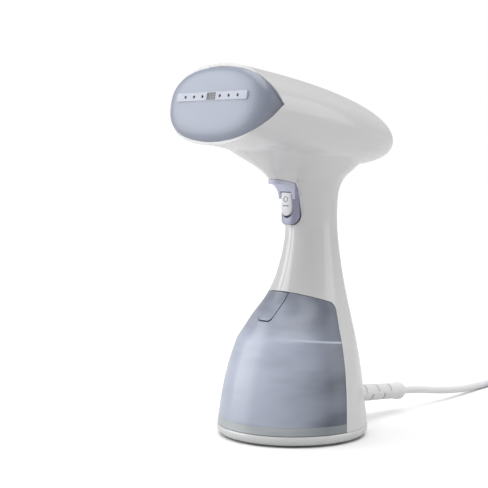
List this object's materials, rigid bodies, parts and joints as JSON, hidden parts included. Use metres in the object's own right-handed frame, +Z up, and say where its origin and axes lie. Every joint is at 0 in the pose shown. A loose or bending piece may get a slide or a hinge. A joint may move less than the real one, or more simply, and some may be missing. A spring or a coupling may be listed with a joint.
{
  "type": "handheld garment steamer",
  "caption": "Upright handheld garment steamer: wide steam head on a curved handle over a pull-off water tank, with a mains lead.",
  "frame": {"origin": "middle of the flat rest face under the foot", "axes": "+Z up, -Y the way the steam blows, +X to the steamer's right; the lead leaves towards +Y"},
  "size_m": [0.1613, 0.4347, 0.2637],
  "materials": {
    "casing_white": "glossy injection moulding",
    "panel_blue": "satin-gloss moulding",
    "strip_pale": "satin moulding",
    "vent_grey": "fine ribbed moulding",
    "bezel_lavender": "satin-gloss moulding",
    "button_grey": "satin moulding",
    "tank_smoke": "translucent smoky blue-grey moulding",
    "band_smoke": "translucent grey moulding",
    "foot_white": "glossy injection moulding",
    "soft_grey": "matte non-slip rubber",
    "silicone": "matte translucent silicone",
    "inner_black": "fine texture",
    "inner_nylon": "natural nylon",
    "cast_metal": "die-cast, grainy",
    "sheet_steel": "zinc-plated",
    "spring_steel": "drawn wire",
    "brass_plain": "turned",
    "board_green": "solder-masked laminate",
    "coil_wrap": "taped winding",
    "wire_brown": "PVC insulation",
    "cord_white": "satin PVC",
    "pin_nickel": "nickel plated"
  },
  "bodies": {
    "handset": {"body_shell_right": "casing_white", "body_shell_left": "casing_white", "steam_panel": "panel_blue", "nozzle_strip": "strip_pale", "vent_grille": "vent_grey", "switch_bezel": "bezel_lavender", "base_tray": "foot_white", "base_cover": "foot_white", "base_pad": "soft_grey", "heater_gasket": "silicone", "panel_gasket": "silicone", "inlet_seal": "silicone", "suction_hose": "silicone", "pressure_hose": "silicone", "micro_switch": "inner_black", "board_parts": "inner_black", "pump_bracket": "inner_black", "cord_clamp": "inner_black", "heater_mounts": "inner_black", "steam_duct": "inner_nylon", "switch_carrier": "inner_nylon", "inlet_spigot": "inner_nylon", "heater_block": "cast_metal", "heater_cover": "cast_metal", "body_screws": "sheet_steel", "base_screws": "sheet_steel", "foot_screws": "sheet_steel", "heater_screws": "sheet_steel", "board_screws": "sheet_steel", "clamp_screws": "sheet_steel", "fuse_clip": "sheet_steel", "thermostat": "sheet_steel", "thermal_fuse": "sheet_steel", "heating_element": "sheet_steel", "element_terminals": "sheet_steel", "button_spring": "spring_steel", "pump_spring": "spring_steel", "pump_barrel": "brass_plain", "control_board": "board_green", "pump_coil": "coil_wrap", "mains_wires": "wire_brown", "cord_boot": "cord_white", "inner_lead": "cord_white", "power_cord": "cord_white", "cord_coil": "cord_white", "plug_body": "cord_white", "plug_pins": "pin_nickel"},
    "tank": {"tank_shell": "tank_smoke", "tank_base": "band_smoke", "filler_plug": "silicone", "tank_outlet": "inner_nylon", "latch_pin": "sheet_steel", "latch_spring": "spring_steel", "valve_spring": "spring_steel"},
    "latch": {"tank_latch": "tank_smoke"},
    "valve": {"tank_valve": "inner_nylon"},
    "button": {"steam_button": "button_grey"},
    "plunger": {"pump_plunger": "inner_nylon"}
  },
  "joints": [
    {"name": "tank_slide", "type": "slide", "parent": "handset", "child": "tank", "axis": [0, -1, 0], "range_m": [0, 0.12]},
    {"name": "latch_press", "type": "hinge", "parent": "tank", "child": "latch", "pos_m": [0, -0.0142, 0.0965], "axis": [1, 0, 0], "range_deg": [0, 4], "stiffness_Nm_per_rad": 0.08, "springref_deg": -17.19, "deforming": ["latch_spring"]},
    {"name": "button_press", "type": "slide", "parent": "handset", "child": "button", "axis": [0, 1, 0], "range_m": [0, 0.0025], "stiffness_N_per_m": 400, "springref_m": -0.002, "deforming": ["button_spring"]},
    {"name": "valve_open", "type": "slide", "parent": "tank", "child": "valve", "axis": [0, -1, 0], "range_m": [0, 0.0014], "stiffness_N_per_m": 200, "springref_m": -0.001, "deforming": ["valve_spring"]},
    {"name": "plunger_stroke", "type": "slide", "parent": "handset", "child": "plunger", "axis": [0, 0, 1], "range_m": [0, 0.003], "stiffness_N_per_m": 500, "springref_m": -0.0012, "deforming": ["pump_spring"]}
  ]
}
